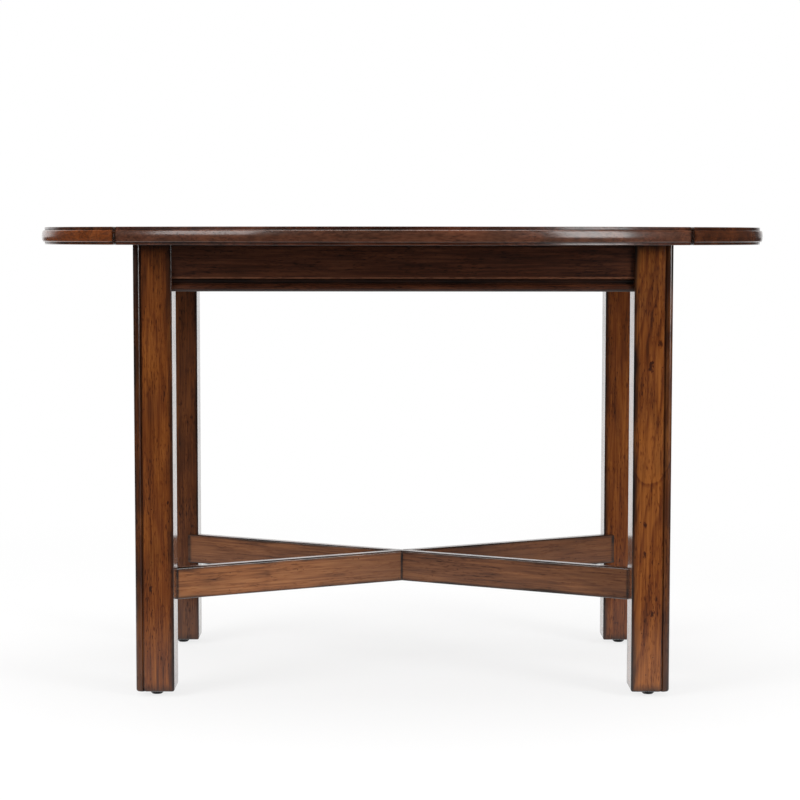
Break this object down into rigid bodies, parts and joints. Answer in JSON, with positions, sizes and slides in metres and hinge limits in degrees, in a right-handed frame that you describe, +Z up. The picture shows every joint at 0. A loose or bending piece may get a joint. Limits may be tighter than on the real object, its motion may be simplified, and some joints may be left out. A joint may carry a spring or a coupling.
{
  "type": "butler tray table",
  "caption": "Oval wooden tray table: a lift-off tray whose hinged leaves with hand-holds fold up, on a stand of square legs joined by a crossed stretcher.",
  "frame": {"origin": "on the floor, under the middle of the table", "axes": "+Z up, +X along the table's length, front towards -Y"},
  "size_m": [0.984, 0.7024, 0.61],
  "materials": {
    "leg_wood": "satin lacquer over antique cherry stain",
    "apron_wood": "satin lacquer over antique cherry stain",
    "stretcher_wood": "satin lacquer over antique cherry stain",
    "leaf_wood": "semi-gloss lacquer over antique cherry stain",
    "tray_wood": "semi-gloss lacquer over antique cherry stain",
    "inner_wood": "bare hardwood",
    "glide_plastic": "black moulded",
    "hinge_brass": "antique brass, brushed",
    "spring_steel": "blued spring steel",
    "plated_steel": "zinc plated"
  },
  "bodies": {
    "base": {"leg_rear_right": "leg_wood", "leg_rear_left": "leg_wood", "leg_front_left": "leg_wood", "leg_front_right": "leg_wood", "glide_rear_right": "glide_plastic", "glide_rear_left": "glide_plastic", "glide_front_left": "glide_plastic", "glide_front_right": "glide_plastic", "apron_rear": "apron_wood", "apron_left": "apron_wood", "apron_front": "apron_wood", "apron_right": "apron_wood", "corner_block_rear_right": "inner_wood", "corner_block_rear_left": "inner_wood", "corner_block_front_left": "inner_wood", "corner_block_front_right": "inner_wood", "hanger_bolts": "plated_steel", "hanger_washers": "plated_steel", "hanger_nuts": "plated_steel", "stretcher_lower_lap": "stretcher_wood", "stretcher_upper_lap": "stretcher_wood", "stretcher_dowel_rear_right": "inner_wood", "stretcher_dowel_rear_left": "inner_wood", "stretcher_dowel_front_left": "inner_wood", "stretcher_dowel_front_right": "inner_wood"},
    "tray": {"tray_panel": "tray_wood", "tray_cleat_rear": "inner_wood", "tray_cleat_left": "inner_wood", "tray_cleat_front": "inner_wood", "tray_cleat_right": "inner_wood", "hinge_tray_plate_right_rear": "hinge_brass", "hinge_tray_plate_right_front": "hinge_brass", "hinge_tray_plate_rear_left": "hinge_brass", "hinge_tray_plate_rear_right": "hinge_brass", "hinge_tray_plate_left_front": "hinge_brass", "hinge_tray_plate_left_rear": "hinge_brass", "hinge_tray_plate_front_right": "hinge_brass", "hinge_tray_plate_front_left": "hinge_brass", "hinge_pin_right_rear": "hinge_brass", "hinge_pin_right_front": "hinge_brass", "hinge_pin_rear_left": "hinge_brass", "hinge_pin_rear_right": "hinge_brass", "hinge_pin_left_front": "hinge_brass", "hinge_pin_left_rear": "hinge_brass", "hinge_pin_front_right": "hinge_brass", "hinge_pin_front_left": "hinge_brass", "hinge_springs": "spring_steel"},
    "leaf_right": {"right_leaf": "leaf_wood", "hinge_leaf_plate_right_rear": "hinge_brass", "hinge_leaf_plate_right_front": "hinge_brass"},
    "leaf_rear": {"rear_leaf": "leaf_wood", "hinge_leaf_plate_rear_left": "hinge_brass", "hinge_leaf_plate_rear_right": "hinge_brass"},
    "leaf_left": {"left_leaf": "leaf_wood", "hinge_leaf_plate_left_front": "hinge_brass", "hinge_leaf_plate_left_rear": "hinge_brass"},
    "leaf_front": {"front_leaf": "leaf_wood", "hinge_leaf_plate_front_right": "hinge_brass", "hinge_leaf_plate_front_left": "hinge_brass"}
  },
  "joints": [
    {"name": "tray_lift", "type": "slide", "parent": "base", "child": "tray", "axis": [0, 0, 1], "range_m": [0, 0.12]},
    {"name": "right_leaf_fold", "type": "hinge", "parent": "tray", "child": "leaf_right", "pos_m": [0.367, 0, 0.608], "axis": [0, -1, 0], "range_deg": [0, 90]},
    {"name": "left_leaf_fold", "type": "hinge", "parent": "tray", "child": "leaf_left", "pos_m": [-0.367, 0, 0.608], "axis": [0, 1, 0], "range_deg": [0, 90]},
    {"name": "front_leaf_fold", "type": "hinge", "parent": "tray", "child": "leaf_front", "pos_m": [0, -0.2275, 0.608], "axis": [-1, 0, 0], "range_deg": [0, 90]},
    {"name": "rear_leaf_fold", "type": "hinge", "parent": "tray", "child": "leaf_rear", "pos_m": [0, 0.2275, 0.608], "axis": [1, 0, 0], "range_deg": [0, 90]}
  ]
}
